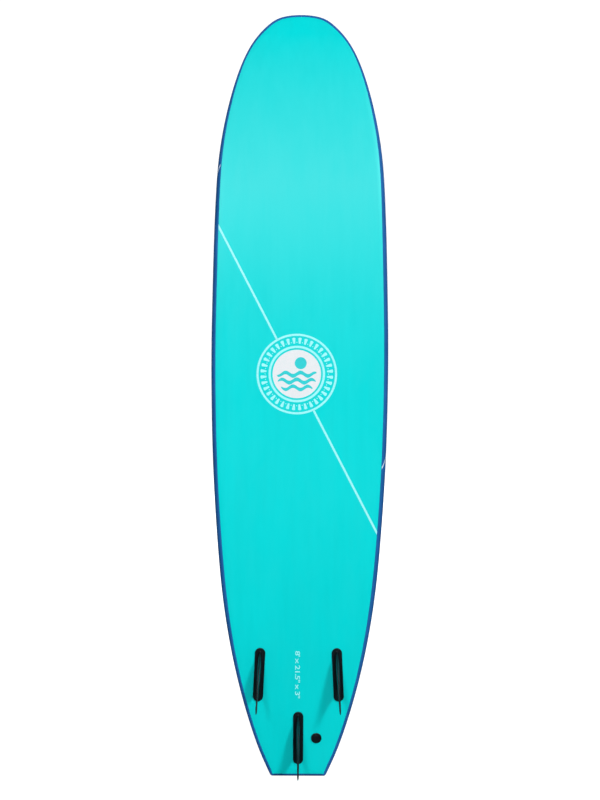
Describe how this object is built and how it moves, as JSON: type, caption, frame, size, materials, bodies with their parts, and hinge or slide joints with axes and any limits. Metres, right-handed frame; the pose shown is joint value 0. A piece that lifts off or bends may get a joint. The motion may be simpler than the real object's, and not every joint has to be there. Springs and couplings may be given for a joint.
{
  "type": "surfboard",
  "caption": "Soft-top longboard with a slick plastic bottom, foam deck and rails, foam core with stringers, bolt-through fins and a leash plug.",
  "frame": {"origin": "middle of the flat end face of the tail, on the tail strip", "axes": "+Z from tail to nose along the length, -Y out of the slick bottom, +Y out of the deck, X across the width"},
  "size_m": [0.5494, 0.2476, 2.438],
  "materials": {
    "slick_teal": "satin",
    "deck_foam_blue": "matte",
    "rail_foam_blue": "matte",
    "core_foam_white": "matte",
    "stringer_ply": "satin",
    "moulded_black": "satin",
    "seal_rubber": "matte",
    "brass": "satin",
    "stainless_steel": "satin"
  },
  "bodies": {
    "board": {"bottom_slick": "slick_teal", "core_centre": "core_foam_white", "core_left": "core_foam_white", "core_right": "core_foam_white", "deck_skin": "deck_foam_blue", "leash_cup": "moulded_black", "leash_pin": "stainless_steel", "rail_left": "rail_foam_blue", "rail_right": "rail_foam_blue", "stringer_left": "stringer_ply", "stringer_right": "stringer_ply", "tail_strip": "rail_foam_blue"},
    "fin_left": {"fin_left": "moulded_black", "insert_left_front": "brass", "insert_left_rear": "brass"},
    "washer_left_front": {"washer_left_front": "moulded_black"},
    "screw_left_front": {"screw_left_front": "stainless_steel"},
    "washer_left_rear": {"washer_left_rear": "moulded_black"},
    "screw_left_rear": {"screw_left_rear": "stainless_steel"},
    "fin_right": {"fin_right": "moulded_black", "insert_right_front": "brass", "insert_right_rear": "brass"},
    "washer_right_front": {"washer_right_front": "moulded_black"},
    "screw_right_front": {"screw_right_front": "stainless_steel"},
    "washer_right_rear": {"washer_right_rear": "moulded_black"},
    "screw_right_rear": {"screw_right_rear": "stainless_steel"},
    "fin_centre": {"fin_centre": "moulded_black", "insert_centre_front": "brass", "insert_centre_rear": "brass"},
    "washer_centre_front": {"washer_centre_front": "moulded_black"},
    "screw_centre_front": {"screw_centre_front": "stainless_steel"},
    "washer_centre_rear": {"washer_centre_rear": "moulded_black"},
    "screw_centre_rear": {"screw_centre_rear": "stainless_steel"},
    "leash_seal": {"leash_seal": "seal_rubber"},
    "leash_cap": {"leash_cap": "moulded_black"}
  },
  "joints": [
    {"name": "fin_left_pull", "type": "slide", "parent": "board", "child": "fin_left", "axis": [0, -0.9973, -0.073], "range_m": [0, 0.027]},
    {"name": "washer_left_front_lift", "type": "slide", "parent": "board", "child": "washer_left_front", "axis": [0, 0.9973, 0.073], "range_m": [0, 0.012]},
    {"name": "screw_left_front_turn", "type": "hinge", "parent": "washer_left_front", "child": "screw_left_front", "pos_m": [-0.1198, -0.00616, 0.38268], "axis": [0, 0.9973, 0.073], "range_deg": [0, 2881]},
    {"name": "washer_left_rear_lift", "type": "slide", "parent": "board", "child": "washer_left_rear", "axis": [0, 0.9973, 0.073], "range_m": [0, 0.012]},
    {"name": "screw_left_rear_turn", "type": "hinge", "parent": "washer_left_rear", "child": "screw_left_rear", "pos_m": [-0.1242, -0.00646, 0.29252], "axis": [0, 0.9973, 0.073], "range_deg": [0, 2881]},
    {"name": "fin_right_pull", "type": "slide", "parent": "board", "child": "fin_right", "axis": [0, -0.9973, -0.073], "range_m": [0, 0.027]},
    {"name": "washer_right_front_lift", "type": "slide", "parent": "board", "child": "washer_right_front", "axis": [0, 0.9973, 0.073], "range_m": [0, 0.012]},
    {"name": "screw_right_front_turn", "type": "hinge", "parent": "washer_right_front", "child": "screw_right_front", "pos_m": [0.1198, -0.00616, 0.38268], "axis": [0, 0.9973, 0.073], "range_deg": [0, 2881]},
    {"name": "washer_right_rear_lift", "type": "slide", "parent": "board", "child": "washer_right_rear", "axis": [0, 0.9973, 0.073], "range_m": [0, 0.012]},
    {"name": "screw_right_rear_turn", "type": "hinge", "parent": "washer_right_rear", "child": "screw_right_rear", "pos_m": [0.1242, -0.00646, 0.29252], "axis": [0, 0.9973, 0.073], "range_deg": [0, 2881]},
    {"name": "fin_centre_pull", "type": "slide", "parent": "board", "child": "fin_centre", "axis": [0, -0.9955, -0.0951], "range_m": [0, 0.021]},
    {"name": "washer_centre_front_lift", "type": "slide", "parent": "board", "child": "washer_centre_front", "axis": [0, 0.9955, 0.0951], "range_m": [0, 0.012]},
    {"name": "screw_centre_front_turn", "type": "hinge", "parent": "washer_centre_front", "child": "screw_centre_front", "pos_m": [0, 0.00159, 0.17987], "axis": [0, 0.9955, 0.0951], "range_deg": [0, 2881]},
    {"name": "washer_centre_rear_lift", "type": "slide", "parent": "board", "child": "washer_centre_rear", "axis": [0, 0.9955, 0.0951], "range_m": [0, 0.012]},
    {"name": "screw_centre_rear_turn", "type": "hinge", "parent": "washer_centre_rear", "child": "screw_centre_rear", "pos_m": [0, 0.00569, 0.08985], "axis": [0, 0.9955, 0.0951], "range_deg": [0, 2881]},
    {"name": "leash_seal_lift", "type": "slide", "parent": "board", "child": "leash_seal", "axis": [0, -0.9954, -0.0956], "range_m": [0, 0.012]},
    {"name": "leash_cap_turn", "type": "hinge", "parent": "leash_seal", "child": "leash_cap", "pos_m": [0.0566, -0.03111, 0.1273], "axis": [0, -0.9954, -0.0956], "range_deg": [0, 2881]}
  ],
  "couplings": [
    {"joint": "screw_left_front_turn", "follows": "washer_left_front_lift", "rad_per_m": 4188.8},
    {"joint": "screw_left_rear_turn", "follows": "washer_left_rear_lift", "rad_per_m": 4188.8},
    {"joint": "screw_right_front_turn", "follows": "washer_right_front_lift", "rad_per_m": 4188.8},
    {"joint": "screw_right_rear_turn", "follows": "washer_right_rear_lift", "rad_per_m": 4188.8},
    {"joint": "screw_centre_front_turn", "follows": "washer_centre_front_lift", "rad_per_m": 4188.8},
    {"joint": "screw_centre_rear_turn", "follows": "washer_centre_rear_lift", "rad_per_m": 4188.8},
    {"joint": "leash_cap_turn", "follows": "leash_seal_lift", "rad_per_m": 4188.8}
  ]
}
